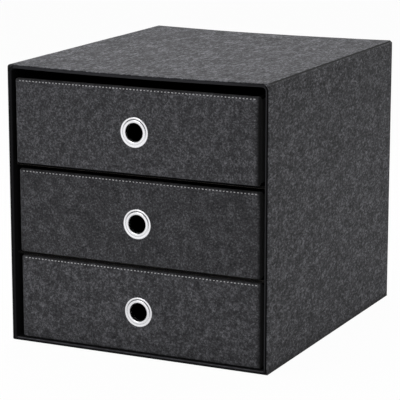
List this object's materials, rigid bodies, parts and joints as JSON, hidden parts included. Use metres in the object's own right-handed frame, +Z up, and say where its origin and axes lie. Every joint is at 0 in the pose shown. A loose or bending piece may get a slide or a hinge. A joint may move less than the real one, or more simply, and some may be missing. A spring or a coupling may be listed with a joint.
{
  "type": "fabric storage chest with drawers",
  "caption": "Box-shaped chest of felt-covered board with stacked open-topped drawers that slide out by metal finger eyelets, for papers and small things.",
  "frame": {"origin": "on the floor, under the middle of the chest", "axes": "+X to the right across the width, +Y from the drawer fronts to the back, +Z up"},
  "size_m": [0.33, 0.38, 0.33],
  "materials": {
    "felt": "dark grey melange needle felt",
    "black_fabric": "black non-woven fabric",
    "binding_tape": "black woven tape",
    "board": "grey-brown fibre board",
    "eyelet_metal": "smooth nickel plate"
  },
  "bodies": {
    "case": {"case_cover": "felt", "base_cover": "black_fabric", "top_board": "board", "bottom_board": "board", "left_board": "board", "right_board": "board", "back_board": "board", "case_lining": "black_fabric", "front_binding": "binding_tape", "upper_shelf_board": "board", "upper_shelf_cover": "black_fabric", "lower_shelf_board": "board", "lower_shelf_cover": "black_fabric"},
    "upper_drawer": {"upper_drawer_front_cover": "felt", "upper_drawer_front_board": "board", "upper_drawer_base_board": "board", "upper_drawer_left_side_board": "board", "upper_drawer_right_side_board": "board", "upper_drawer_rear_board": "board", "upper_drawer_body_cover": "black_fabric", "upper_drawer_lining": "black_fabric", "upper_drawer_eyelet": "eyelet_metal", "upper_drawer_eyelet_washer": "eyelet_metal"},
    "middle_drawer": {"middle_drawer_front_cover": "felt", "middle_drawer_front_board": "board", "middle_drawer_base_board": "board", "middle_drawer_left_side_board": "board", "middle_drawer_right_side_board": "board", "middle_drawer_rear_board": "board", "middle_drawer_body_cover": "black_fabric", "middle_drawer_lining": "black_fabric", "middle_drawer_eyelet": "eyelet_metal", "middle_drawer_eyelet_washer": "eyelet_metal"},
    "lower_drawer": {"lower_drawer_front_cover": "felt", "lower_drawer_front_board": "board", "lower_drawer_base_board": "board", "lower_drawer_left_side_board": "board", "lower_drawer_right_side_board": "board", "lower_drawer_rear_board": "board", "lower_drawer_body_cover": "black_fabric", "lower_drawer_lining": "black_fabric", "lower_drawer_eyelet": "eyelet_metal", "lower_drawer_eyelet_washer": "eyelet_metal"}
  },
  "joints": [
    {"name": "upper_drawer_slide", "type": "slide", "parent": "case", "child": "upper_drawer", "axis": [0, -1, 0], "range_m": [-0.0052, 0.28]},
    {"name": "middle_drawer_slide", "type": "slide", "parent": "case", "child": "middle_drawer", "axis": [0, -1, 0], "range_m": [-0.001, 0.28]},
    {"name": "lower_drawer_slide", "type": "slide", "parent": "case", "child": "lower_drawer", "axis": [0, -1, 0], "range_m": [0, 0.28]}
  ]
}
